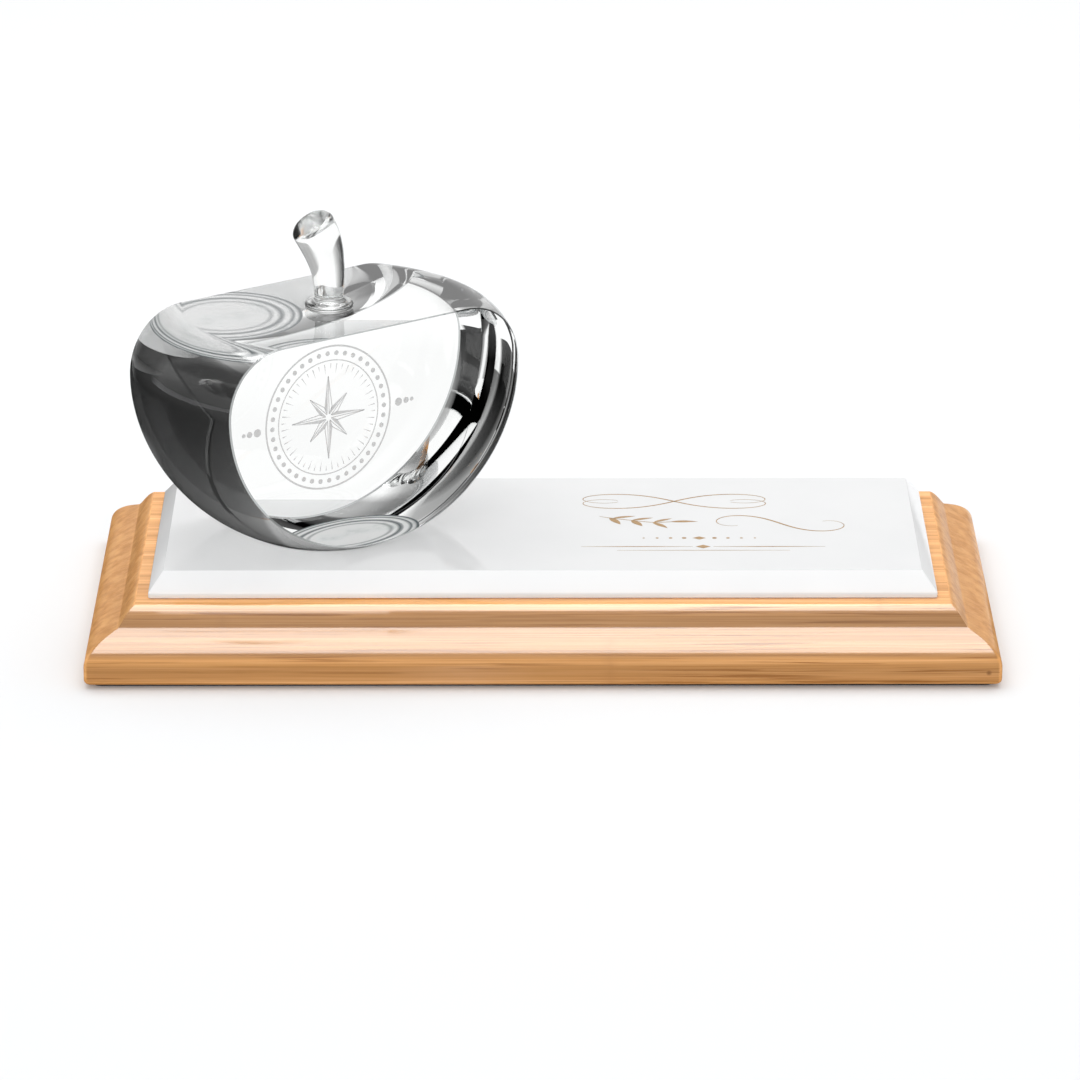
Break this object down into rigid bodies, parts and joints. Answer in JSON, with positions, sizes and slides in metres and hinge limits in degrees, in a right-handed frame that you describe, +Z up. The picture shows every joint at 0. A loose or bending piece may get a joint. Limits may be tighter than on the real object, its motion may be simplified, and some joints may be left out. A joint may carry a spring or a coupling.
{
  "type": "glass apple award on a bamboo base",
  "caption": "Clear sliced glass apple with a stem, standing on a white bevelled plate on a moulded bamboo base; a desk award and paperweight.",
  "frame": {"origin": "on the table, under the middle of the base", "axes": "+X along the base's length, +Y towards its back, +Z up"},
  "size_m": [0.2666, 0.127, 0.127],
  "materials": {
    "bamboo": "satin lacquer over bamboo on edge",
    "white_acrylic": "polished white",
    "clear_glass": "polished clear glass",
    "clear_adhesive": "clear cured film",
    "tape": "double-sided tape",
    "felt": "dark felt"
  },
  "bodies": {
    "root": {"felt_pad": "felt", "bamboo_strip_01": "bamboo", "bamboo_strip_02": "bamboo", "bamboo_strip_03": "bamboo", "bamboo_strip_04": "bamboo", "bamboo_strip_05": "bamboo", "bamboo_strip_06": "bamboo", "bamboo_strip_07": "bamboo", "bamboo_strip_08": "bamboo", "bamboo_strip_09": "bamboo", "bamboo_strip_10": "bamboo", "bamboo_strip_11": "bamboo", "bamboo_strip_12": "bamboo", "bamboo_strip_13": "bamboo", "bamboo_strip_14": "bamboo", "bamboo_strip_15": "bamboo", "bamboo_strip_16": "bamboo", "bamboo_strip_17": "bamboo", "bamboo_strip_18": "bamboo", "bamboo_strip_19": "bamboo", "bamboo_strip_20": "bamboo", "tape_strip_front": "tape", "tape_strip_back": "tape", "white_plate": "white_acrylic", "apple_adhesive_film": "clear_adhesive", "glass_apple": "clear_glass", "stem_adhesive_film": "clear_adhesive", "glass_stem": "clear_glass"}
  },
  "joints": []
}
